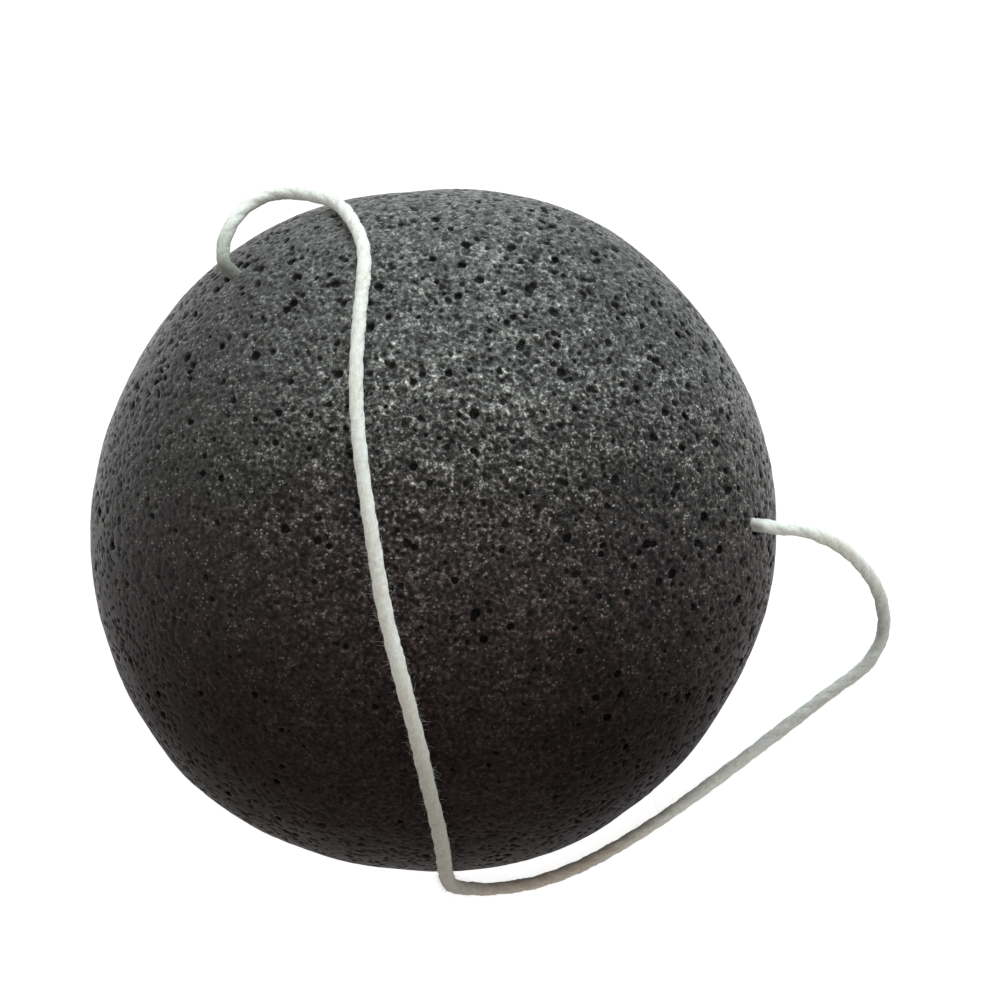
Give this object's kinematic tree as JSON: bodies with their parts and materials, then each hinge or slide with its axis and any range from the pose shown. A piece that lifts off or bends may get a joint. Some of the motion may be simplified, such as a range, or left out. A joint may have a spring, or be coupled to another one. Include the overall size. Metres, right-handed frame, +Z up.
{
  "type": "konjac sponge",
  "caption": "half-ball facial sponge of porous charcoal-grey konjac foam, flat underneath, on a loop of white twisted cotton cord threaded through it",
  "frame": {"origin": "middle of the flat face that the sponge rests on", "axes": "+Z up from the flat face through the dome's crown; +X towards the right hole, where the larger bight of the loop lies; +Y to the side where the smaller bight stands out"},
  "size_m": [0.0942, 0.0837, 0.0373],
  "materials": {
    "konjac_foam": "matte open-cell foam with dark pores and small bright glints on the cell walls",
    "cotton_cord": "matte three-strand twisted cotton with loose fibres"
  },
  "bodies": {
    "root": {"sponge": "konjac_foam", "hanging_cord": "cotton_cord", "cord_leg_left": "cotton_cord", "cord_leg_right": "cotton_cord", "knot": "cotton_cord"}
  },
  "joints": []
}
